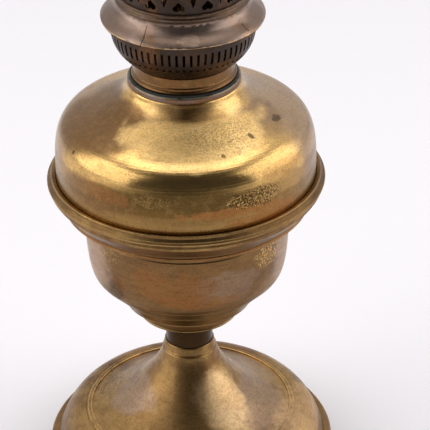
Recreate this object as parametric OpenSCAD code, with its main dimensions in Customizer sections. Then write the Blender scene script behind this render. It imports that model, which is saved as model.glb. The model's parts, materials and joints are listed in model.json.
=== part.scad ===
// Brass table oil lamp with a round wick burner.
// The lamp stands on z = 0 and everything is centred on the Z axis.
// The wick knob points to the back of the lamp, +Y.

/* [Foot] */
// Outer radius of the foot's rolled rim
foot_r = 80; // [76:0.1:96]
// Height of the whole foot, to the top of its trumpet
foot_h = 67.3; // [56:0.1:82]
// Height of the rolled rim
rim_h = 7.5; // [6:0.5:9]
// Width of the hem turned under the rim
hem_w = 4; // [3:0.5:5]
// Width of the step from the rim in to the shoulder
ledge_w = 4; // [3.5:0.1:6]
// Radius of the raised ring round the trumpet
foot_ring_r = 57.2; // [50:0.1:60]
// Height of that ring above the floor
foot_ring_z = 27.2; // [22:0.1:32]
// Width of the raised ring
foot_ring_w = 2.6; // [1.6:0.1:3.6]
// Height by which the ring stands proud
foot_ring_rise = 0.6; // [0.3:0.1:1.2]
// Radius of the trumpet's top
foot_top_r = 14.9; // [13:0.1:18]
// Thickness of the foot's sheet
foot_wall = 1; // [0.6:0.1:1.5]

/* [Weight inside the foot] */
// Thickness of the weight's flat edge
weight_edge_h = 3; // [2:0.5:3]
// Height of the weight's raised middle above its edge
weight_crown_h = 12; // [8:0.5:15]
// Radius of the weight's raised middle
weight_crown_r = 44; // [34:1:48]
// Thickness of the closing plate
base_plate_h = 0.8; // [0.5:0.1:1]

/* [Tie rod] */
// Radius of the rod that holds foot and font together
rod_r = 3; // [2:0.1:4]
// Width of the rod's nut across its corners
nut_w = 11.5; // [9:0.5:14]
// Height of the nut
nut_h = 4; // [3:0.5:5]
// Outer radius of the washer
washer_r = 9; // [8:0.5:11]
// Thickness of the washer
washer_h = 1; // [0.6:0.1:1.5]

/* [Stem] */
// Height of the brass ring on top of the foot
ring_h = 5; // [3:0.5:8]
// Height of the stem's tube
stem_h = 16.5; // [12:0.5:24]
// Radius of the brass ring at its top
ring_top_r = 13.7; // [13.5:0.1:14.9]
// Radius of the stem at its foot
stem_foot_r = 12.9; // [12:0.1:13.2]
// Radius of the stem at its top
stem_top_r = 14.4; // [14:0.1:16]
// Radius of the stem's hollow
stem_bore_r = 10.5; // [8:0.1:11]

/* [Font] */
// Height of the stepped cup under the font
cup_h = 29.6; // [24:0.1:36]
// Radius of the cup at its top
cup_r = 48.4; // [44:0.1:50]
// Radius of the cup's lower step
cup_step_r = 26.9; // [24:0.1:30]
// Height of the lower step above the cup's foot
cup_step_h = 4.1; // [3:0.1:6]
// Radius of the raised line between the cup's steps
cup_line_r = 34.8; // [32:0.1:37]
// Height of that line above the cup's foot
cup_line_h = 12.8; // [10:0.1:16]
// Radius of the cup's upper step
cup_groove_r = 40.3; // [38:0.1:42]
// Height of the upper step above the cup's foot
cup_groove_h = 20.7; // [18:0.1:22]
// Height of the font's straight bowl
bowl_h = 35; // [28:0.1:42]
// Widest radius of the bowl
bowl_r = 55.2; // [52:0.1:60]
// Height of the flared rim above the bowl
flare_h = 19.2; // [16:0.1:23]
// Radius of the flared rim at its top
flare_r = 72; // [70:0.1:86]
// Radius of the ridge half way up the flared rim
flare_ridge_r = 66.2; // [64:0.1:68]
// Height of that ridge above the rim's foot
flare_ridge_h = 9.8; // [8:0.1:11]
// Outer radius of the round bead at the font's seam
bead_r = 74.1; // [73:0.1:89]
// Height of the bead, with the thin lip on its top
bead_h = 7.8; // [6.5:0.1:9]
// Height of the bead's widest line above its foot
bead_mid_h = 3.8; // [3.2:0.1:4.6]
// Outer radius of the domed top at its skirt
dome_r = 69.2; // [64:0.1:70]
// Height of the domed top above the flared rim
dome_h = 60.8; // [50:0.1:73]
// Height of the dome's straight skirt
skirt_h = 13.4; // [8:0.1:18]
// Height of the dome's shoulder, where it turns hollow
shoulder_h = 42.9; // [34:0.1:48]
// Radius of the dome's shoulder at that height
shoulder_r = 55.6; // [48:0.1:60]
// Thickness of the font's sheet
font_wall = 1; // [0.6:0.1:1.4]
// Radius of the threaded boss under the font
boss_r = 9; // [7:0.5:11]
// Height of that boss
boss_h = 10; // [7:0.5:14]

/* [Burner thread] */
// Radius of the burner's thread, as a plain cylinder
thread_r = 24.9; // [22:0.1:26]
// Radial play between the burner's thread and the collar
thread_play = 0.08; // [0.02:0.01:0.1]
// Length of the burner's threaded skirt
thread_h = 8; // [6:0.5:9]
// Thickness of the collar's wall round the thread
collar_wall = 3.2; // [2.5:0.1:4]
// Height of the collar's lip above the dome's neck
lip_h = 3; // [2:0.5:5]
// Thickness of the black sealing ring
seal_h = 0.9; // [0.6:0.1:1.5]
// Gap under a piece that lifts or turns on another
rest_gap = 0.05; // [0.02:0.01:0.1]

/* [Burner body] */
// Height of the burner's base ring
base_ring_h = 8.2; // [7:0.1:11]
// Thickness of the burner's sheet
sheet = 0.8; // [0.5:0.1:1]
// Widest radius of the slotted basket
basket_r = 37.8; // [35:0.1:38]
// Height of the slotted basket
basket_h = 24.8; // [23:0.1:30]
// Number of air slots in the basket
slot_count = 64; // [36:2:64]
// Width of an air slot
slot_w = 1.3; // [0.8:0.1:1.6]
// Length of an air slot
slot_h = 6.8; // [5:0.1:8]
// Radius of the round air hole below each slot
hole_r = 0.7; // [0.5:0.1:0.8]
// Outer radius of the saucer flange
flange_r = 42.3; // [40:0.1:51]
// Height of the saucer flange
flange_h = 10.2; // [8:0.1:13]

/* [Gallery] */
// Outer radius of the pierced wall
gallery_r = 32.7; // [31:0.1:34]
// Height of the bead below the pierced wall
gallery_bead_h = 4.4; // [3:0.1:6]
// Height of the pierced wall above its bead
gallery_h = 17.5; // [16:0.5:22]
// Number of hearts round the pierced wall
heart_count = 14; // [10:1:15]
// Width of one heart
heart_w = 6; // [4:0.1:7]
// Turn of the first heart from the front, in degrees
heart_turn = -3.7; // [-12:0.1:12]

/* [Chimney] */
// Radius of the chimney's base
chimney_r = 26.5; // [25:0.1:28]
// Height of the chimney
chimney_h = 250; // [200:5:300]
// Outer radius of the chimney's waist
chimney_waist_r = 18.5; // [16:0.5:21]
// Height of the waist above the chimney's base
chimney_waist_z = 48; // [42:1:56]
// Outer radius of the chimney's tube above the waist
chimney_tube_r = 20.5; // [18:0.5:23]
// Outer radius of the chimney's mouth
chimney_mouth_r = 19; // [17:0.5:23]
// Thickness of the glass
glass_wall = 1.6; // [1.2:0.1:2]
// Gap between the glass and the spring fingers
glass_gap = 0.4; // [0.3:0.1:1]
// Height of the spring fingers that hold the chimney
finger_h = 14; // [10:0.5:18]
// Number of spring fingers
finger_count = 8; // [6:1:12]

/* [Wick] */
// Mean radius of the wick when it is bent round
wick_r = 12.75; // [11:0.05:13.5]
// Thickness of the wick
wick_t = 2.4; // [1.6:0.1:2.8]
// Gap between the wick and each of its tubes
wick_gap = 0.35; // [0.3:0.05:0.6]
// Height of the wick above its tubes
wick_rise = 2; // [1:0.5:4]
// Height of the wick's tail above the font's floor
wick_clear = 12; // [10:0.5:40]
// Thickness of the wick tubes
tube_wall = 0.7; // [0.5:0.1:1]
// Height of the wick tubes above the chimney's seat
tube_rise = 8; // [5:0.5:12]
// Width of the air port through the side of the tubes
port_w = 8; // [5:0.5:9]
// Height of the air port
port_h = 10; // [6:0.5:12]

/* [Wick winder] */
// Radius of the spindle
spindle_r = 1.5; // [1:0.1:2]
// Radial play of the spindle in its bearings
spindle_play = 0.06; // [0.02:0.01:0.1]
// Height of the spindle above the burner's floor
spindle_rise = 11; // [9:0.5:12]
// Radius of the toothed wheels, over their teeth
wheel_r = 4; // [3.2:0.1:5]
// Width of one toothed wheel
wheel_w = 1.4; // [1:0.1:2]
// Gap between the two toothed wheels
wheel_space = 3; // [2:0.5:5]
// Number of teeth on a wheel
tooth_count = 16; // [12:2:20]
// Depth of a tooth
tooth_h = 0.9; // [0.5:0.1:1.2]
// Gap between the teeth and the wick
tooth_gap = 0.05; // [0.04:0.01:0.1]
// Radius of the knob
knob_r = 9; // [7:0.5:11]
// Thickness of the knob
knob_h = 4.5; // [3:0.5:7]
// Distance of the knob from the flange's edge
knob_reach = 12; // [8:1:20]
// Number of notches round the knob
knob_notches = 30; // [20:2:40]

/* [Hidden] */
$fn = 96;

// small clearances and edges
fit_gap = 0.05;
rod_play = 0.2;
edge = 0.8;
through = 20;

// heights of the joints between the pieces, from the floor up
z_weight_top = rim_h - foot_wall;
z_weight = z_weight_top - weight_edge_h;
recess_h = nut_h + washer_h + 2;
z_recess = z_weight + recess_h;
z_ring = foot_h;
z_stem = z_ring + ring_h;
z_cup = z_stem + stem_h;
z_bowl = z_cup + cup_h;
z_rim = z_bowl + bowl_h;
z_seam = z_rim + flare_h;
seam_h = 1.6;
seat_w = 3;
z_neck = z_seam + dome_h;
z_lip = z_neck + lip_h;
z_seal = z_lip + rest_gap;
z_base = z_seal + seal_h + rest_gap;
z_basket = z_base + base_ring_h;
z_floor = z_basket + sheet;
z_flange = z_basket + basket_h;
z_bead = z_flange + flange_h;
z_gallery = z_bead + gallery_bead_h;
z_glass = z_bead + rest_gap;
z_spindle = z_floor + spindle_rise;
z_tube_top = z_glass + tube_rise;
z_tube_foot = z_base - thread_h;

// radii and places that follow from the fits
weight_r = foot_r - foot_wall - 1.3;
weight_recess_r = washer_r + 3;
hole_rod_r = rod_r + rod_play;
collar_bore_r = thread_r + thread_play;
collar_skirt_r = collar_bore_r + collar_wall;
neck_r = collar_skirt_r + font_wall + 0.8;
base_r = thread_r + 1.7;
base_bore_r = thread_r - 1.3;
basket_foot_r = thread_r + 1.1;
flange_top_r = gallery_r + 1.9;
wick_out_r = wick_r + wick_t / 2;
wick_in_r = wick_r - wick_t / 2;
outer_tube_in_r = wick_out_r + wick_gap;
outer_tube_r = outer_tube_in_r + tube_wall;
inner_tube_r = wick_in_r - wick_gap;
holder_in_r = outer_tube_r + 3.5;
finger_r = chimney_r + glass_gap;
wick_split = 2 * asin((port_w / 2 + wick_gap) / wick_in_r);
z_port = z_floor + 4;
wheel_in_y = wheel_space / 2;
wheel_out_y = wheel_in_y + wheel_w;
spindle_x = sqrt(pow(wick_out_r, 2) - pow(wheel_in_y, 2)) + wheel_r + tooth_gap;
ear_y = wheel_out_y + 0.5;
ear_w = 1.2;
sleeve_r = spindle_r + spindle_play + 1;
sleeve_in_y = ear_y + ear_w + through;
sleeve_out_y = basket_r + 4;
knob_y = flange_r + knob_reach;

// Points of a cubic curve from p to q, without p itself.
// Its two handles lie at the shares a and b of the span.
function curve(p, q, a, b, n = 12) = [
  for (i = [1:n])
    let (t = i / n, s = 1 - t, d = q - p)
    let (u = p + [d[0] * a[0], d[1] * a[1]], v = p + [d[0] * b[0], d[1] * b[1]])
    s * s * s * p + 3 * s * s * t * u + 3 * s * t * t * v + t * t * t * q
];

// Points on a circle of radius r about c, from one angle to another
function arc(c, r, from, to, n = 6) = [
  for (i = [0:n])
    let (turn = from + (to - from) * i / n)
    c + r * [cos(turn), sin(turn)]
];

// Unit vector to the left of a line of points at point i
function left_of(line, i) =
  let (a = line[max(i - 1, 0)], b = line[min(i + 1, len(line) - 1)], d = b - a)
  [-d[1], d[0]] / norm(d);

// The same line moved to its left by t
function shifted(line, t) = [for (i = [0:len(line) - 1]) line[i] + t * left_of(line, i)];

// The points of a list in reverse order
function reversed(line) = [for (i = [len(line) - 1:-1:0]) line[i]];

// A spun sheet of thickness t, whose outer face follows the line
module spun(line, t) {
  rotate_extrude()
    polygon(concat(line, reversed(shifted(line, t))));
}

// A flat ring or a straight tube between two radii, from z0 to z1
module tube(r_out, r_in, z0, z1) {
  translate([0, 0, z0])
    difference() {
      cylinder(r = r_out, h = z1 - z0);
      translate([0, 0, -1])
        cylinder(r = r_in, h = z1 - z0 + 2);
    }
}

// A round bar along Y at the spindle's place, from y0 to y1
module cross_bar(r, y0, y1) {
  translate([spindle_x, y0, z_spindle])
    rotate([-90, 0, 0])
      cylinder(r = r, h = y1 - y0);
}

// ---- foot ----

function shoulder_foot() = [foot_r - ledge_w, rim_h];
function shoulder_top() = [foot_ring_r + foot_ring_w / 2, foot_ring_z];

// Rim, shoulder, raised ring and trumpet in one spun sheet
module foot_shell() {
  ring_inside = [foot_ring_r - foot_ring_w / 2, foot_ring_z + 0.1];
  line = concat(
    [[foot_r - hem_w, 0], [foot_r - edge, 0], [foot_r, edge]],
    [[foot_r, rim_h - 2 * edge], [foot_r - edge, rim_h - edge / 2]],
    [[foot_r - 2 * edge, rim_h]],
    [shoulder_foot()],
    curve(shoulder_foot(), shoulder_top(), [0.15, 0.36], [0.365, 1], 16),
    [shoulder_top() + [-0.1, 0.7 * foot_ring_rise], shoulder_top() + [-0.4, foot_ring_rise]],
    [[foot_ring_r, foot_ring_z + foot_ring_rise]],
    [ring_inside + [0.4, foot_ring_rise], ring_inside + [0.1, 0.8 * foot_ring_rise], ring_inside],
    curve(ring_inside, [foot_top_r, foot_h - edge], [0.39, 0.09], [0.9, 0.6], 24),
    [[foot_top_r - edge, foot_h], [hole_rod_r, foot_h]]
  );
  color("darkgoldenrod")
    spun(line, foot_wall);
}

// Cast weight whose flat edge bears under the step of the rim
module foot_weight() {
  crown_top = z_weight_top + weight_crown_h;
  color("dimgray")
    rotate_extrude()
      polygon(concat(
        [[weight_recess_r, z_weight], [weight_r, z_weight], [weight_r, z_weight_top]],
        [[weight_crown_r + 6, z_weight_top]],
        curve([weight_crown_r + 6, z_weight_top], [weight_crown_r - 8, crown_top], [0.4, 0.1], [0.5, 1], 6),
        [[hole_rod_r, crown_top], [hole_rod_r, z_recess], [weight_recess_r, z_recess]]
      ));
}

// Thin plate that closes the foot, laid on the hem
module base_plate() {
  color("peru")
    translate([0, 0, foot_wall])
      cylinder(r = foot_r - foot_wall - 0.4, h = base_plate_h);
}

// ---- tie rod ----

module tie_rod() {
  z0 = z_recess - washer_h - nut_h - 1.5;
  color("gray")
    translate([0, 0, z0])
      cylinder(r = rod_r, h = z_cup + boss_h - 1.5 - z0);
}

module rod_washer() {
  color("silver")
    tube(washer_r, hole_rod_r, z_recess - washer_h, z_recess);
}

module rod_nut() {
  color("silver")
    translate([0, 0, z_recess - washer_h - nut_h])
      difference() {
        cylinder(r = nut_w / 2, h = nut_h, $fn = 6);
        translate([0, 0, -1])
          cylinder(r = rod_r + fit_gap, h = nut_h + 2);
      }
}

// ---- stem ----

// Turned ring with a faint raised edge above and below
module stem_ring() {
  color("goldenrod")
    rotate_extrude()
      polygon([
        [hole_rod_r, z_ring], [foot_top_r - 0.2, z_ring], [foot_top_r - 0.1, z_ring + 0.4],
        [foot_top_r - 0.4, z_ring + 0.9], [ring_top_r - 0.1, z_stem - 0.9],
        [ring_top_r, z_stem - 0.5], [ring_top_r - 0.3, z_stem], [hole_rod_r, z_stem]
      ]);
}

// Tube that narrows to a waist and widens again under the font
module stem_tube() {
  foot_point = [stem_foot_r, z_stem];
  head_point = [stem_top_r, z_cup];
  color("saddlebrown")
    rotate_extrude()
      polygon(concat(
        [[stem_bore_r, z_stem], foot_point],
        curve(foot_point, head_point, [0, 0.4], [0.35, 0.8], 12),
        [[stem_bore_r, z_cup]]
      ));
}

// ---- font ----

// Stepped underside that carries the bowl
module font_cup() {
  step_1 = [cup_step_r, z_cup + cup_step_h];
  step_2 = [cup_groove_r, z_cup + cup_groove_h];
  mid = [cup_line_r, z_cup + cup_line_h];
  foot_point = [stem_top_r + 2.2, z_cup];
  line = concat(
    [[hole_rod_r, z_cup], foot_point],
    curve(foot_point, step_1 - [0.6, 0.8], [0.6, 0.1], [0.9, 0.6], 6),
    arc(step_1, 0.8, -70, 50, 4),
    curve(step_1 + [0.5, 0.7], mid - [0.5, 0.5], [0.35, 0.3], [0.68, 0.65], 8),
    [mid + [0.3, -0.3], mid + [0.4, 0.2], mid + [0.5, 0.6]],
    curve(mid + [0.5, 0.6], step_2 - [0.7, 0.6], [0.35, 0.3], [0.65, 0.65], 6),
    [step_2 + [0.4, -0.5], step_2 + [0.6, 0.1]],
    curve(step_2 + [0.6, 0.1], [cup_r - 2.4, z_bowl - 3.2], [0.35, 0.3], [0.8, 0.8], 6),
    [[cup_r - 1.9, z_bowl - 3.2], [cup_r - 0.6, z_bowl - 1.8], [cup_r, z_bowl - 1], [cup_r, z_bowl]]
  );
  color("saddlebrown")
    spun(line, font_wall);
}

// Blind threaded boss that the tie rod screws into
module font_boss() {
  color("goldenrod")
    translate([0, 0, z_cup + font_wall])
      difference() {
        cylinder(r = boss_r, h = boss_h);
        translate([0, 0, -1])
          cylinder(r = rod_r + fit_gap, h = boss_h);
      }
}

// Near straight bowl with a rounded foot
module font_bowl() {
  turn_r = cup_r + 1.8;
  line = concat(
    [[cup_r - 8, z_bowl], [turn_r - 0.6, z_bowl], [turn_r, z_bowl + edge]],
    curve([turn_r, z_bowl + edge], [bowl_r, z_rim - 1], [0.7, 0.05], [0.9, 0.52], 16),
    [[bowl_r, z_rim]]
  );
  color("peru")
    spun(line, font_wall);
}

// Disc that closes the bowl's bottom
module font_floor() {
  color("tan")
    translate([0, 0, z_bowl + font_wall])
      cylinder(r = cup_r, h = font_wall);
}

// Flared rim with a bead at its foot and a ridge half way up
module font_rim() {
  ridge = [flare_ridge_r, z_rim + flare_ridge_h];
  waist = [bowl_r + 0.9, z_rim + 3.2];
  in_waist = [bowl_r - 0.2, z_rim + 3.5];
  in_ridge = ridge - [1.6, -0.2];
  outside = concat(
    [[bowl_r - 4, z_rim], [bowl_r + 1.1, z_rim], [bowl_r + 1.3, z_rim + 0.9]],
    [[bowl_r + 0.9, z_rim + 1.6], waist],
    curve(waist, ridge - [1.2, 1], [0.25, 0.45], [0.6, 0.75], 8),
    [ridge - [0.2, 0.8], ridge - [0, 0.4], ridge + [-0.1, 0.1], ridge + [-0.4, 0.4]],
    curve(ridge + [-0.3, 0.8], [flare_r - 0.1, z_seam - 1], [0.25, 0.35], [0.75, 0.7], 8),
    [[flare_r, z_seam - 0.5], [flare_r, z_seam]]
  );
  inside = concat(
    [[bowl_r - 4, z_rim + font_wall], [bowl_r - 0.5, z_rim + font_wall], in_waist],
    curve(in_waist, in_ridge, [0.25, 0.45], [0.6, 0.75], 8),
    curve(in_ridge, [flare_r - font_wall - 0.2, z_seam - 1], [0.25, 0.35], [0.75, 0.7], 8),
    [[flare_r - font_wall, z_seam - 0.5], [flare_r - font_wall, z_seam]]
  );
  color("peru")
    rotate_extrude()
      polygon(concat(outside, reversed(inside)));
}

// Rounded bead that joins the flared rim to the dome
module font_bead() {
  in_r = dome_r + fit_gap;
  mid = z_seam + bead_mid_h;
  top = z_seam + bead_h;
  lip_r = bead_r - 2.7;
  color("goldenrod")
    rotate_extrude()
      polygon(concat(
        [[in_r - seat_w, z_seam], [flare_r + 0.3, z_seam], [flare_r + 0.8, z_seam + 0.4]],
        [[flare_r + 0.8, z_seam + 0.9], [bead_r - 1.6, mid - 1.9]],
        arc([bead_r - 1.2, mid], 1.2, -60, 80),
        [[lip_r + 0.6, top - 1.5], [lip_r + 0.6, top - 1]],
        arc([lip_r, top - 0.5], 0.5, 0, 120),
        [[in_r + 0.4, top - 0.5], [in_r, top - 1]],
        [[in_r, z_seam + seam_h], [in_r - seat_w, z_seam + seam_h]]
      ));
}

// Domed top with a straight skirt, a round shoulder and a hollow neck
module font_dome() {
  skirt = [dome_r, z_seam + skirt_h];
  turn = [shoulder_r, z_seam + shoulder_h];
  neck = [neck_r, z_neck - 0.6];
  line = concat(
    [[dome_r, z_seam + seam_h], skirt],
    curve(skirt, turn, [0, 0.67], [0.18, 0.88], 20),
    curve(turn, neck, [0.453, 0.24], [0.92, 0.447], 20),
    [[neck_r - 0.4, z_neck], [collar_skirt_r + fit_gap, z_neck]]
  );
  color("gold")
    spun(line, font_wall);
}

// Turned collar that the burner screws into
module font_collar() {
  color("darkseagreen")
    rotate_extrude()
      polygon([
        [collar_bore_r, z_base - thread_h - 2], [collar_skirt_r, z_base - thread_h - 2],
        [collar_skirt_r, z_neck], [neck_r - 0.4, z_neck], [neck_r - 0.3, z_neck + 0.6],
        [neck_r - 0.4, z_lip - 0.7], [neck_r - 0.9, z_lip], [collar_bore_r, z_lip]
      ]);
}

module seal_ring() {
  color("black")
    tube(collar_skirt_r + 0.1, collar_bore_r + 0.3, z_seal, z_seal + seal_h);
}

// ---- burner ----

// Base ring with its thread, as a plain skirt, and two small beads
module burner_base() {
  z = z_base;
  color("sienna")
    rotate_extrude()
      polygon([
        [base_bore_r, z - thread_h], [thread_r, z - thread_h], [thread_r, z],
        [base_r + 0.4, z], [base_r + 0.9, z + 0.7], [base_r + 0.5, z + 1.4],
        [base_r, z + 1.8], [base_r, z + 2.6], [base_r + 0.35, z + 3.1], [base_r, z + 3.6],
        [base_r - 0.2, z + base_ring_h], [base_bore_r, z + base_ring_h]
      ]);
}

module burner_floor() {
  color("rosybrown")
    tube(base_bore_r, outer_tube_r + fit_gap, z_floor, z_floor + sheet);
}

function sleeve_angle() = atan2(sqrt(pow(basket_r, 2) - pow(spindle_x, 2)), spindle_x);

// Round basket with a row of slots over a row of holes
module slotted_basket() {
  foot_point = [basket_foot_r, z_basket];
  belly = [basket_r, z_flange - 2];
  slot_z = z_flange - 5.4 - slot_h;
  line = concat(
    [[base_bore_r - 4, z_basket], foot_point],
    curve(foot_point, belly, [0.56, 0.23], [1.017, 0.42], 16),
    [[basket_r, z_flange - sheet - 0.4], [basket_r + 0.4, z_flange - sheet]],
    [[flange_r - 0.5, z_flange - sheet]]
  );
  color("dimgray")
    difference() {
      spun(line, sheet);
      for (i = [0:slot_count - 1]) {
        turn = i * 360 / slot_count;
        away = abs(turn - sleeve_angle());
        if (away > 7) {
          rotate([0, 0, turn]) {
            translate([basket_r - 4, -slot_w / 2, slot_z])
              cube([8, slot_w, slot_h]);
            translate([basket_r - 6, 0, slot_z - 3.4])
              rotate([0, 90, 0])
                cylinder(r = hole_r, h = 8, $fn = 24);
          }
        }
      }
      cross_bar(sleeve_r + fit_gap, basket_r - through, basket_r + 2);
    }
}

// Wide saucer flange, a double curve from its rim up to the gallery
module saucer_flange() {
  rim_point = [flange_r - 0.3, z_flange + 1.1];
  neck_point = [flange_top_r, z_bead - 0.6];
  line = concat(
    [[flange_r, z_flange], [flange_r, z_flange + 0.7], rim_point],
    curve(rim_point, neck_point, [0.34, 0.35], [0.74, 0.35], 16),
    [[flange_top_r, z_bead]]
  );
  color("rosybrown")
    spun(line, sheet);
}

// Moulded ring at the root of the pierced wall
module gallery_bead() {
  r = flange_top_r;
  h = gallery_bead_h;
  color("sienna")
    rotate_extrude()
      polygon(concat(
        [[gallery_r + fit_gap, z_bead], [r, z_bead]],
        arc([r - 0.4, z_bead + 0.8], 0.8, -60, 60, 4),
        [[r - 0.5, z_bead + 0.4 * h], [r - 0.9, z_bead + 0.65 * h]],
        arc([r - 1.2, z_bead + h - 0.7], 0.6, -60, 90, 4),
        [[gallery_r + fit_gap, z_bead + h]]
      ));
}

// Outline of a heart of width w that stands on its two lobes
module heart(w) {
  lobe = 0.27 * w;
  for (side = [-1, 1]) {
    translate([side * (w / 2 - lobe), lobe])
      circle(r = lobe, $fn = 32);
  }
  polygon([
    [-w / 2 + 0.04 * w, 0.38 * w], [-0.1 * w, 0.12 * w], [0.1 * w, 0.12 * w],
    [w / 2 - 0.04 * w, 0.38 * w], [0.06 * w, 0.82 * w], [-0.06 * w, 0.82 * w]
  ]);
}

// Outline of a bud with its tip down, h tall
module bud(h) {
  polygon([
    [0, 0], [0.13 * h, 0.35 * h], [0.2 * h, 0.62 * h], [0.13 * h, 0.86 * h],
    [0, h], [-0.13 * h, 0.86 * h], [-0.2 * h, 0.62 * h], [-0.13 * h, 0.35 * h]
  ]);
}

// Cuts the outline given through the gallery's wall at one turn and height
module pierce(turn, z) {
  rotate([0, 0, turn - 90])
    translate([gallery_r - 4, 0, z])
      rotate([90, 0, 90])
        linear_extrude(8)
          children();
}

// Pierced wall with hearts, buds, a row of dots and a scalloped edge
module pierced_gallery() {
  step = 360 / heart_count;
  top = z_gallery + gallery_h;
  color("sienna")
    difference() {
      tube(gallery_r, gallery_r - sheet, z_bead, top);
      for (i = [0:heart_count - 1]) {
        pierce(heart_turn + i * step, z_gallery + 1.6)
          heart(heart_w);
        pierce(heart_turn + (i + 0.5) * step, z_gallery + 3.3)
          bud(7.5);
        pierce(heart_turn + i * step, z_gallery + 9.5)
          circle(r = 1.3, $fn = 24);
        for (half = [0, 0.5]) {
          pierce(heart_turn + (i + half + 0.25) * step, top + 0.6)
            circle(r = 2.6, $fn = 32);
        }
      }
    }
}

// Seat plate with air holes and the spring fingers round the chimney
module chimney_holder() {
  gap_turn = 360 / finger_count;
  hole_ring_r = (holder_in_r + chimney_r - glass_wall) / 2;
  color("goldenrod")
    difference() {
      union() {
        tube(flange_top_r - sheet - fit_gap, holder_in_r, z_bead - sheet, z_bead);
        tube(finger_r + sheet, finger_r, z_bead - sheet / 2, z_bead + finger_h);
      }
      for (i = [0:finger_count - 1]) {
        rotate([0, 0, i * gap_turn])
          translate([finger_r - 2, -3, z_bead + 1.5])
            cube([6, 6, finger_h]);
      }
      for (i = [0:23]) {
        rotate([0, 0, i * 15])
          translate([hole_ring_r, 0, z_bead - sheet - 1])
            cylinder(r = 1.2, h = 3, $fn = 24);
      }
    }
}

// ---- wick tubes ----

// Block that a window through one side of the tubes is cut with
module window(x0, x1, half_w, z0, z1) {
  translate([x0, -half_w, z0])
    cube([x1 - x0, 2 * half_w, z1 - z0]);
}

module outer_wick_tube() {
  wheel_window = wheel_r + 0.6;
  color("goldenrod")
    difference() {
      tube(outer_tube_r, outer_tube_in_r, z_tube_foot, z_tube_top);
      window(0, through, wheel_out_y + 0.3, z_spindle - wheel_window, z_spindle + wheel_window);
      window(-through, 0, port_w / 2, z_port, z_port + port_h);
    }
}

// Inner tube, closed below and open above, fed by the side port
module inner_draught_tube() {
  bore_r = inner_tube_r - tube_wall;
  color("goldenrod")
    difference() {
      translate([0, 0, z_floor - 4])
        cylinder(r = inner_tube_r, h = z_tube_top - z_floor + 4);
      translate([0, 0, z_floor - 4 + tube_wall])
        cylinder(r = bore_r, h = z_tube_top - z_floor + 5);
      window(-through, 0, port_w / 2 - tube_wall, z_port + tube_wall, z_port + port_h - tube_wall);
    }
}

// Short duct that carries air through the split in the wick
module air_port() {
  color("tan")
    intersection() {
      tube(outer_tube_in_r - fit_gap, inner_tube_r + fit_gap, z_port, z_port + port_h);
      difference() {
        window(-through, 0, port_w / 2, z_port, z_port + port_h);
        window(-2 * through, 0, port_w / 2 - tube_wall, z_port + tube_wall, z_port + port_h - tube_wall);
      }
    }
}

// ---- wick winder ----

// Bracket soldered to the outer tube, with a bearing on each side of the wheels
module spindle_bracket() {
  strap_x = spindle_x + wheel_r + 0.5;
  ear_h = wheel_r;
  color("tan")
    difference() {
      window(0, strap_x + ear_w, ear_y + ear_w, z_spindle - ear_h, z_spindle + ear_h);
      window(-1, strap_x, ear_y, z_spindle - ear_h - 1, z_spindle + ear_h + 1);
      translate([0, 0, z_spindle - 2 * ear_h])
        cylinder(r = outer_tube_r + fit_gap, h = 4 * ear_h);
      cross_bar(spindle_r + spindle_play, -through, through);
    }
}

// Bearing tube that leads the spindle out through the basket
module spindle_sleeve() {
  bore = spindle_r + spindle_play;
  color("goldenrod")
    difference() {
      union() {
        cross_bar(sleeve_r, sleeve_in_y, sleeve_out_y);
        cross_bar(sleeve_r + 1.2, basket_r - 0.5, basket_r + 0.7);
      }
      cross_bar(bore, sleeve_in_y - 1, sleeve_out_y + 1);
    }
}

module spindle() {
  color("silver")
    cross_bar(spindle_r, -ear_y - ear_w - 1.5, knob_y + knob_h - 0.4);
}

// Outline of a wheel with pointed teeth
module toothed_outline() {
  polygon([
    for (i = [0:2 * tooth_count - 1])
      let (r = i % 2 == 0 ? wheel_r : wheel_r - tooth_h, turn = 180 * i / tooth_count)
      r * [cos(turn), sin(turn)]
  ]);
}

// Two toothed wheels that grip the wick
module wick_wheels() {
  color("gray")
    for (y = [wheel_in_y, -wheel_out_y]) {
      difference() {
        translate([spindle_x, y + wheel_w, z_spindle])
          rotate([90, 0, 0])
            linear_extrude(wheel_w)
              toothed_outline();
        cross_bar(spindle_r + fit_gap, y - 1, y + wheel_w + 1);
      }
    }
}

// Knob with a notched edge and a dished face
module knob() {
  color("gold")
    translate([spindle_x, knob_y, z_spindle])
      rotate([-90, 0, 0])
        difference() {
          rotate_extrude()
            polygon([
              [spindle_r + fit_gap, -2], [3.5, -2], [4, 0], [knob_r - 0.8, 0], [knob_r, 0.8],
              [knob_r, knob_h - 0.8], [knob_r - 0.8, knob_h], [knob_r - 2.2, knob_h],
              [knob_r - 3.4, knob_h - 0.8], [spindle_r + fit_gap, knob_h - 0.4]
            ]);
          for (i = [0:knob_notches - 1]) {
            rotate([0, 0, i * 360 / knob_notches])
              translate([knob_r + 0.25, 0, -1])
                cylinder(r = 0.6, h = knob_h + 2, $fn = 24);
          }
        }
}

// Riveted end that keeps the knob on its spindle
module knob_rivet() {
  color("silver")
    translate([spindle_x, knob_y + knob_h - 0.4, z_spindle])
      rotate([-90, 0, 0])
        rotate_extrude()
          polygon([[0, 0], [2.6, 0], [2.4, 0.6], [1.6, 1.1], [0, 1.3]]);
}

// ---- wick and chimney ----

// Flat woven wick bent round, with a split on the air port's side
module wick() {
  z0 = z_bowl + 2 * font_wall + wick_clear;
  color("linen")
    translate([0, 0, z0])
      rotate([0, 0, 180 + wick_split / 2])
        rotate_extrude(angle = 360 - wick_split)
          translate([wick_in_r, 0])
            square([wick_t, z_tube_top + wick_rise - z0]);
}

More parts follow.
